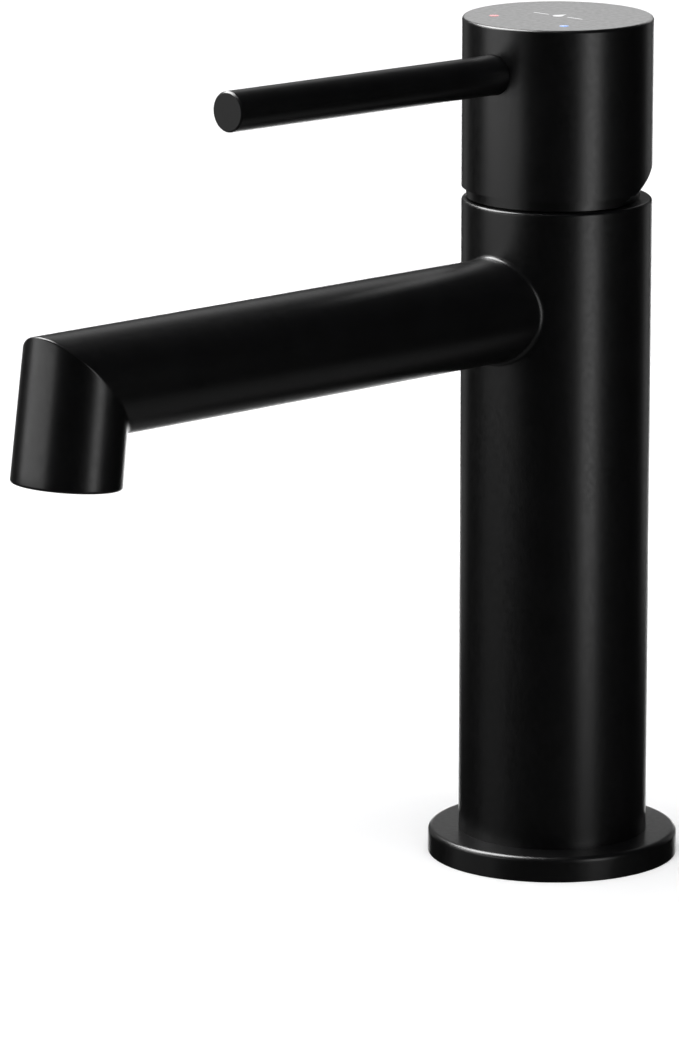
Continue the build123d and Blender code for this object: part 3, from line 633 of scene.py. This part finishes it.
@dataclass
class Spout:
    """Straight tube with a weld fillet at its root and a sharp mitre before its mouth."""

    radius: float = 11.0 * MM
    bore: float = 9.5 * MM
    reach: float = 140.6 * MM
    lean: float = math.radians(7.9)
    drop: float = 19.7 * MM
    mouth_radius: float = 11.2 * MM
    mouth_tilt: float = math.radians(6.0)
    aerator_seat: float = 9.9 * MM
    aerator_depth: float = 9.0 * MM
    weld: float = 0.8 * MM
    mitre_outside: float = 0.4 * MM  # rounding of the mitre's outer corner
    mitre_inside: float = 1.7 * MM  # and of its inner corner
    lip: float = 0.6 * MM
    inner_lip: float = 0.25 * MM
    sunk: float = 0.1 * MM  # how deep the root's rim starts in its seat
    overlap: float = 0.2 * MM  # how far the weld runs over the seat's edge
    proud: float = 0.01 * MM  # and its height there above the body
    straight: float = 3.0 * MM  # plain end of the arm before the mitre
    lap_steps: int = 5  # rings of the weld's lap, each one overlap further in
    arm_steps: int = 12
    mitre_steps: int = 8
    segments: int = 144
    weld_steps: int = 8
    lip_steps: int = 6
    inner_lip_steps: int = 3
    NOZZLE_SHARES: ClassVar[tuple[float, ...]] = (0.1, 0.3, 0.5, 0.7, 0.9)  # rings between mitre and mouth
    SLOT: ClassVar[str] = "matte_black"

    def __post_init__(self) -> None:
        """Work out the axes and planes from the sizes and from the body."""
        low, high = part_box("body_tube")
        self.body_radius = (high.x - low.x) / 2
        self.root = Vector((0, 0, SEAT_HEIGHT))
        self.out = Vector((0, -math.cos(SPOUT_RISE), math.sin(SPOUT_RISE)))
        self.over = self.out.cross(X_AXIS)
        self.down = Vector((0, -math.sin(self.lean), -math.cos(self.lean)))
        self.outer = self.down.cross(X_AXIS)
        self.mitre = self.root + self.out * self.reach
        self.mitre_normal = (self.out + self.down).normalized()
        self.mouth = self.mitre + self.down * self.drop
        self.mouth_normal = Vector((0, -math.sin(self.mouth_tilt), -math.cos(self.mouth_tilt)))

    def round_arm(self, radius: float, angle: float) -> Vector:
        """Offset from the arm's axis at an angle round it."""
        return radius * (math.cos(angle) * X_AXIS + math.sin(angle) * self.over)

    def round_nozzle(self, radius: float, angle: float) -> Vector:
        """Offset from the nozzle's axis at an angle round it."""
        return radius * (math.cos(angle) * X_AXIS + math.sin(angle) * self.outer)

    def on_body(self, radius: float, body: float, further: float = 0.0) -> Station:
        """Ring where a tube along the arm meets an upright cylinder.

        Args:
            radius: the tube's radius.
            body: the cylinder's radius.
            further: how far beyond the cylinder the ring lies, along the arm.

        Returns:
            The station.
        """
        def place(angle: float) -> Vector:
            offset = self.round_arm(radius, angle)
            depth = -math.sqrt(body**2 - offset.x**2)
            along = (depth - offset.y) / self.out.y
            return self.root + offset + self.out * (along + further)
        return place

    def on_mitre(self, radius: float, before: float = 0.0) -> Station:
        """Ring where a tube along the arm meets the mitre, or a little before it."""
        def place(angle: float) -> Vector:
            offset = self.round_arm(radius, angle)
            gap = self.mitre - self.root - offset
            along = gap.dot(self.mitre_normal) / self.out.dot(self.mitre_normal)
            return self.root + offset + self.out * (along - before)
        return place

    def round_mitre(self, share: float) -> Station:
        """Ring on the rounding of the mitre, from the arm's side at 0 to the nozzle's side at 1."""
        ridge = self.on_mitre(self.radius)
        rim = self.on_mouth(self.mouth_radius)

        def place(angle: float) -> Vector:
            inner = (1 - math.sin(angle)) / 2
            width = self.mitre_outside + (self.mitre_inside - self.mitre_outside) * inner**3
            corner = ridge(angle)
            before = corner - self.out * width
            after = corner + (rim(angle) - corner).normalized() * width
            return before.lerp(corner, share).lerp(corner.lerp(after, share), share)
        return place

    def between(self, start: Station, end: Station, share: float) -> Station:
        """Ring part of the way from one station to another."""
        return lambda angle: start(angle).lerp(end(angle), share)

    def on_mouth(self, radius: float) -> Station:
        """Ring in the plane of the mouth."""
        def place(angle: float) -> Vector:
            offset = self.round_nozzle(radius, angle)
            slip = offset.dot(self.mouth_normal) / self.down.dot(self.mouth_normal)
            return self.mouth + offset - self.down * slip
        return place

    def in_nozzle(self, radius: float, depth: float) -> Station:
        """Ring square to the nozzle, at a depth above its mouth."""
        return lambda angle: self.mouth + self.round_nozzle(radius, angle) - self.down * depth

    def build(self, shop: Workshop) -> None:
        """Build the arm and the nozzle, each closed at the mitre."""
        wall, seat = self.body_radius, SEAT_RADIUS
        face = wall + self.proud
        start = self.on_body(seat, wall - self.sunk)
        corner = self.on_body(self.radius, face)
        clear = self.on_body(self.radius, face, 1.5 * self.weld)
        approach = self.on_mitre(self.radius, self.straight)
        rim = self.on_mouth(self.mouth_radius)
        bore_wall = wall - TUBE_WALL
        stations = [
            start,
            self.on_body(seat + self.overlap, wall - self.sunk / 2),
            *(self.on_body(seat + self.overlap * (1 - k), face) for k in range(self.lap_steps)),
            corner,
            clear,
            *(self.between(clear, approach, k / self.arm_steps) for k in range(1, self.arm_steps)),
            approach,
            *(self.round_mitre(k / self.mitre_steps) for k in range(self.mitre_steps + 1)),
            *(self.between(self.round_mitre(1.0), rim, share) for share in self.NOZZLE_SHARES),
            rim,
            self.on_mouth(self.aerator_seat),
            self.in_nozzle(self.aerator_seat, self.aerator_depth),
            self.in_nozzle(self.bore, self.aerator_depth),
            self.on_mitre(self.bore),
            self.on_body(self.bore, bore_wall),
            self.on_body(seat, bore_wall),
            start,
        ]
        whole = carry_ring(stations, self.segments)
        soften_ring(whole, stations.index(corner), self.weld, self.weld_steps)
        soften_ring(whole, stations.index(rim), self.lip, self.lip_steps)
        soften_ring(whole, stations.index(rim) + 1, self.inner_lip, self.inner_lip_steps)
        bmesh.ops.remove_doubles(whole, verts=whole.verts[:], dist=TOUCHING)
        bmesh.ops.recalc_face_normals(whole, faces=whole.faces[:])
        arm = keep_side(whole, self.mitre, self.mitre_normal)
        nozzle = keep_side(whole, self.mitre, -self.mitre_normal)
        whole.free()
        shop.piece("spout_arm_skin", arm, self.SLOT, Body.ROOT, "spout_arm")
        shop.piece("spout_nozzle_skin", nozzle, self.SLOT, Body.ROOT, "spout_nozzle")


# ---- threads ---------------------------------------------------------------------------------


@dataclass(frozen=True)
class InnerThread:
    """Helical ridge that stands inward from the wall of a drilled hole."""

    centre: tuple[float, float]
    radius: float
    pitch: float
    depth: float
    start: float = 0.4 * MM
    sunk: float = 0.05 * MM
    steps: int = 40  # faces round one turn
    CREST: ClassVar[float] = 0.3  # height of the ridge, as a share of the pitch
    FLANK: ClassVar[float] = 0.4  # half of its width at the wall
    LAND: ClassVar[float] = 0.07  # and at its crest

    def build(self) -> bmesh.types.BMesh:
        """Build the ridge, closed at both ends.

        Returns:
            Its mesh, in place.
        """
        crest = self.radius - self.CREST * self.pitch
        wall = self.radius + self.sunk
        flank, land = self.FLANK * self.pitch, self.LAND * self.pitch
        outline = [(wall, 0.0), (crest, flank - land), (crest, flank + land), (wall, 2 * flank)]
        turns = (self.depth - 2 * self.start - 2 * flank) / self.pitch
        steps = round(turns * self.steps)
        bm = bmesh.new()
        verts = [bm.verts.new((self.centre[0] + r, self.centre[1], self.start + z)) for r, z in outline]
        face = bm.faces.new(verts)
        bmesh.ops.spin(bm, geom=[face], cent=(*self.centre, 0.0), axis=Z_AXIS, angle=math.tau * turns,
                       dvec=Z_AXIS * (turns * self.pitch / steps), steps=steps, use_duplicate=False)
        return bm


@dataclass
class InletThreads:
    """Threads of the two hose ports and of the fixing stud's hole."""

    port: tuple[float, float, float] = (4.5 * MM, 1.0 * MM, 12.0 * MM)  # radius, pitch, depth
    stud: tuple[float, float, float] = (3.4 * MM, 1.25 * MM, 16.0 * MM)
    stud_place: tuple[float, float] = (0.0, -10.5 * MM)

    def build(self, shop: Workshop) -> None:
        """Build the three ridges as one piece."""
        ridges = [InnerThread(self.stud_place, *self.stud).build()]
        for side in ("hot_pipe", "cold_pipe"):
            low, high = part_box(side)
            axis = (low + high) / 2
            ridges.append(InnerThread((axis.x, axis.y), *self.port).build())
        shop.piece("inlet_threads", joined(ridges), "brass", Body.ROOT)


# ---- seals and marks -------------------------------------------------------------------------


@dataclass
class Seals:
    """Rubber rings: the moulded foot gasket and the O-rings inside."""

    rib: float = 0.35 * MM
    squeeze: float = 0.96  # the bonnet's ring is this share of its groove's height
    gasket_steps: int = 144
    bonnet_steps: int = 96
    pipe_steps: int = 48
    # the gasket's underside, as shares of its width and of the rib's height
    PROFILE: ClassVar[tuple[tuple[float, float], ...]] = (
        (0.0, 0.5), (0.06, 0.0), (0.3, 0.0), (0.38, 1.0), (0.62, 1.0), (0.7, 0.0), (0.94, 0.0), (1.0, 0.5))
    SLOT: ClassVar[str] = "rubber"

    def foot_gasket(self, shop: Workshop) -> None:
        """Build the foot's gasket with two ribs and a shallow groove below."""
        low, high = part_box("base_gasket")
        outer, top = high.x, high.z
        inner = outer - GASKET_WIDTH
        ribs = [(inner + GASKET_WIDTH * share, self.rib * lift) for share, lift in self.PROFILE]
        outline = [*ribs, (outer, top), (inner, top)]
        gasket = turn_profile(outline, self.gasket_steps, Matrix.Translation((0, 0, low.z)))
        shop.piece("foot_gasket", gasket, self.SLOT, Body.ROOT, "base_gasket")

    def bonnet_ring(self, shop: Workshop) -> None:
        """Build the round ring in the groove of the bonnet's sleeve."""
        low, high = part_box("bonnet_ring")
        section = (high.z - low.z) / 2 * self.squeeze
        ring = round_ring(high.x - section, section, Vector((0, 0, (low.z + high.z) / 2)), self.bonnet_steps)
        shop.piece("bonnet_o_ring", ring, self.SLOT, Body.ROOT, "bonnet_ring")

    def pipe_rings(self, shop: Workshop) -> None:
        """Build the four O-rings on the ends of the pipes."""
        low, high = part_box("pipe_seals")
        rings = []
        for side in ("hot_pipe", "cold_pipe"):
            start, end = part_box(side)
            axis = (start + end) / 2
            section = (high.y - axis.y - (end.x - start.x) / 2) / 2
            for height in (low.z + section, high.z - section):
                centre = Vector((axis.x, axis.y, height))
                rings.append(round_ring((end.x - start.x) / 2 + section, section, centre, self.pipe_steps))
        shop.piece("pipe_o_rings", joined(rings), self.SLOT, Body.ROOT, "pipe_seals")

    def build(self, shop: Workshop) -> None:
        """Build every seal."""
        self.foot_gasket(shop)
        self.bonnet_ring(shop)
        self.pipe_rings(shop)


@dataclass
class TopMarks:
    """Enamel dots and a small etched drop on top of the head."""

    crown: float = 0.07 * MM
    crown_steps: int = 6
    segments: int = 40
    drop_radius: float = 1.15 * MM
    drop_point: float = 2.6 * MM
    bar: tuple[float, float] = (4.2 * MM, 0.42 * MM)
    bar_gap: float = 2.6 * MM
    etch: float = 0.012 * MM
    taper: float = 0.75  # how much narrower the drop is at its tip

    def dot(self, shop: Workshop, node: str, slot: str) -> None:
        """Build a domed dot of enamel in its pocket.

        Args:
            shop: makes the piece.
            node: the carried-over dot.
            slot: its finish.
        """
        low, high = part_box(node)
        radius, depth = (high.x - low.x) / 2, high.z - low.z
        crown = [(radius * math.cos(a), depth + self.crown * math.sin(a))
                 for a in (math.pi / 2 * k / self.crown_steps for k in range(self.crown_steps))]
        outline = [(0.0, 0.0), (radius, 0.0), *crown, (0.0, depth + self.crown)]
        place = Matrix.Translation(((low.x + high.x) / 2, (low.y + high.y) / 2, low.z))
        shop.piece(f"{node}_enamel", turn_profile(outline, self.segments, place), slot, Body.HANDLE, node)

    def etched_drop(self, shop: Workshop) -> None:
        """Build the etched ornament: a water drop between two short bars."""
        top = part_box("handle_head")[1].z
        bm = bmesh.new()
        drop = bmesh.ops.create_circle(bm, cap_ends=True, segments=self.segments,
                                       radius=self.drop_radius)["verts"]
        tip = max(drop, key=lambda v: v.co.y)
        for vert in drop:
            lift = max(0.0, vert.co.y / self.drop_radius)
            vert.co.x *= 1.0 - lift**2 * self.taper
            vert.co.y += lift**3 * (self.drop_point - self.drop_radius)
        tip.co.x = 0.0
        for side in (-1, 1):
            centre = Matrix.Translation((side * (self.bar_gap + self.bar[0] / 2), 0, 0))
            size = Matrix.Diagonal((self.bar[0] / 2, self.bar[1] / 2, 1.0, 1.0))
            bmesh.ops.create_grid(bm, x_segments=1, y_segments=1, size=1.0, matrix=centre @ size)
        raised = bmesh.ops.extrude_face_region(bm, geom=bm.faces[:])["geom"]
        lifted = [v for v in raised if isinstance(v, bmesh.types.BMVert)]
        bmesh.ops.translate(bm, verts=lifted, vec=(0, 0, 2 * self.etch))
        bmesh.ops.translate(bm, verts=bm.verts[:], vec=(0, 0, top - self.etch))
        shop.piece("etched_drop", bm, "steel", Body.HANDLE)

    def build(self, shop: Workshop) -> None:
        """Build the dots and the drop."""
        self.dot(shop, "hot_mark", "hot_enamel")
        self.dot(shop, "cold_mark", "cold_enamel")
        self.etched_drop(shop)


# ---- studio ----------------------------------------------------------------------------------


@dataclass(frozen=True)
class Softbox:
    """Rectangular light that faces the mixer.

    Its bearing is in degrees round the body, from the spout's direction towards +X.
    """

    name: str
    bearing: float
    distance: float
    height: float
    width: float
    tall: float
    radiance: float
    aim: float = 0.1
    only: tuple[str, ...] = ()  # the nodes and pieces that it lights, if not everything
    without: tuple[str, ...] = ()  # the nodes that it leaves out

    def build(self) -> None:
        """Build the light."""
        data = bpy.data.lights.new(self.name, "AREA")
        data.shape = "RECTANGLE"
        data.size, data.size_y = self.width, self.tall
        data.energy = self.radiance * math.pi * self.width * self.tall
        lamp = bpy.data.objects.new(self.name, data)
        turn = math.radians(self.bearing)
        lamp.location = (self.distance * math.sin(turn), -self.distance * math.cos(turn), self.height)
        way = Vector((0, 0, self.aim)) - lamp.location
        lamp.rotation_euler = way.to_track_quat("-Z", "Y").to_euler()
        lamp.visible_camera = False
        lamp.visible_diffuse = False  # it shows in the gloss only; the overhead light gives the rest
        if self.only or self.without:
            lit = bpy.data.collections.new(f"{self.name}_lit")
            for name in (*self.only, *self.without):
                lit.objects.link(frame["nodes"].get(name) or bpy.data.objects[name])
            for held in lit.collection_objects:
                held.light_linking.link_state = "EXCLUDE" if self.without else "INCLUDE"
            lamp.light_linking.receiver_collection = lit
        bpy.context.scene.collection.objects.link(lamp)


@dataclass
class Studio:
    """Pale floor, soft lights and the camera."""

    camera_bearing: float = math.radians(42.013)
    camera_distance: float = 1.47039
    camera_height: float = 0.41542
    camera_heading: float = math.radians(43.785)
    camera_pitch: float = math.radians(13.136)
    camera_roll: float = math.radians(0.035)
    lens: float = 247.45
    floor_size: float = 16.0
    floor_clearance: float = 0.05 * MM
    floor_colour: Colour = (0.86, 0.86, 0.865)
    sky: float = 0.005
    backdrop: float = 1.0
    overhead: float = 4.7
    overhead_spread: float = math.radians(70)
    overhead_tilt: tuple[float, float, float] = (math.radians(12), math.radians(8), 0.0)
    # name, bearing, distance, height, width, tall, radiance, aim
    softboxes: list[Softbox] = field(default_factory=lambda: [
        Softbox("key_strip", 83.0, 0.5, 0.12, 0.16, 0.4, 2.85, 0.12),
        Softbox("left_low", -27.0, 0.6, 0.13, 0.6, 0.16, 2.5, 0.13, without=("lever_rod",)),
        Softbox("lever_fill", -27.0, 0.6, 0.13, 0.6, 0.16, 0.9, 0.13, only=("lever_rod",)),
        Softbox("left_middle", -50.0, 0.62, 0.42, 0.38, 0.2, 9.0, 0.15),
        Softbox("left_high", -68.0, 0.42, 0.72, 0.6, 0.5, 22.0, 0.1),
        Softbox("left_table", -35.0, 0.6, -0.12, 0.4, 0.2, 0.15, -0.05),
        Softbox("back_low", 220.0, 0.6, 0.0, 0.3, 0.17, 3.2, 0.0),
        Softbox("back_high", 222.0, 0.6, 0.43, 0.6, 0.2, 0.6, 0.2),
        Softbox("back_under", 221.0, 0.6, -0.16, 0.44, 0.2, 1.7, -0.05),
        Softbox("back_left", 258.0, 0.6, 0.1, 0.2, 0.4, 0.25, 0.1),
        Softbox("back_right", 186.0, 0.6, 0.1, 0.2, 0.4, 0.35, 0.1),
        Softbox("top_sheen", 212.0, 0.6, 0.36, 0.6, 0.26, 1.6, 0.18,
                only=("handle_head", "hot_mark_enamel", "cold_mark_enamel", "etched_drop")),
        Softbox("foot_fill", -35.0, 0.6, -0.12, 0.5, 0.25, 0.6, -0.05, only=("base_flange_skin",)),
        Softbox("table_glow", 0.0, 0.0, -0.3, 1.1, 1.1, 0.14, 0.1),
    ])

    def floor(self) -> None:
        """Lay the floor, which shows as a plain pale ground and keeps out of the gloss."""
        s = Shading("pale_floor")
        s.tint(s.noise(9.0, 4.0), shade(self.floor_colour, 0.985), self.floor_colour)
        s.roughen(s.noise(60.0), 0.6, 0.7)
        bm = bmesh.new()
        bmesh.ops.create_grid(bm, x_segments=1, y_segments=1, size=self.floor_size / 2)
        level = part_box("base_gasket")[0].z - self.floor_clearance
        bmesh.ops.translate(bm, verts=bm.verts[:], vec=(0, 0, level))
        mesh = bpy.data.meshes.new("floor")
        bm.to_mesh(mesh)
        bm.free()
        mesh.materials.append(s.material)
        ground = bpy.data.objects.new("floor", mesh)
        bpy.context.scene.collection.objects.link(ground)
        ground.visible_glossy = False
        ground.visible_shadow = False

    def lights(self) -> None:
        """Set the softboxes and an overhead light for the floor."""
        for box in self.softboxes:
            box.build()
        data = bpy.data.lights.new("overhead", "SUN")
        data.energy = self.overhead
        data.angle = self.overhead_spread
        lamp = bpy.data.objects.new("overhead", data)
        lamp.rotation_euler = self.overhead_tilt
        lamp.visible_glossy = False
        bpy.context.scene.collection.objects.link(lamp)

    def surround(self) -> None:
        """Make the world dim for the light and pale for the view."""
        world = bpy.data.worlds.new("surround")
        world.use_nodes = True
        nodes, links = world.node_tree.nodes, world.node_tree.links
        dim = nodes["Background"]
        dim.inputs["Color"].default_value = (1, 1, 1, 1)
        dim.inputs["Strength"].default_value = self.sky
        pale = nodes.new("ShaderNodeBackground")
        pale.inputs["Color"].default_value = (self.backdrop, self.backdrop, self.backdrop, 1)
        mix = nodes.new("ShaderNodeMixShader")
        links.new(nodes.new("ShaderNodeLightPath").outputs["Is Camera Ray"], mix.inputs["Fac"])
        links.new(dim.outputs["Background"], mix.inputs[1])
        links.new(pale.outputs["Background"], mix.inputs[2])
        links.new(mix.outputs["Shader"], nodes["World Output"].inputs["Surface"])
        bpy.context.scene.world = world

    def camera(self) -> None:
        """Place the camera and make it the scene's."""
        data = bpy.data.cameras.new("camera")
        data.lens = self.lens
        data.clip_end = 2.5 * self.floor_size
        eye = bpy.data.objects.new("camera", data)
        turn = (Matrix.Rotation(self.camera_heading, 4, "Z")
                @ Matrix.Rotation(math.pi / 2 - self.camera_pitch, 4, "X")
                @ Matrix.Rotation(self.camera_roll, 4, "Z"))
        place = Matrix.Translation((self.camera_distance * math.sin(self.camera_bearing),
                                    -self.camera_distance * math.cos(self.camera_bearing),
                                    self.camera_height))
        eye.matrix_world = place @ turn
        bpy.context.scene.collection.objects.link(eye)
        bpy.context.scene.camera = eye

    def build(self) -> None:
        """Build the whole studio."""
        bpy.context.scene.view_settings.view_transform = "Standard"
        self.surround()
        self.floor()
        self.lights()
        self.camera()


def main() -> None:
    """Build the finishes, the fine pieces and the studio."""
    logging.basicConfig(level=logging.INFO, format="%(message)s")
    shop = Workshop()
    shop.dress_frame()
    Column().build(shop)
    Spout().build(shop)
    InletThreads().build(shop)
    Seals().build(shop)
    TopMarks().build(shop)
    Studio().build()


if __name__ == "__main__":
    main()
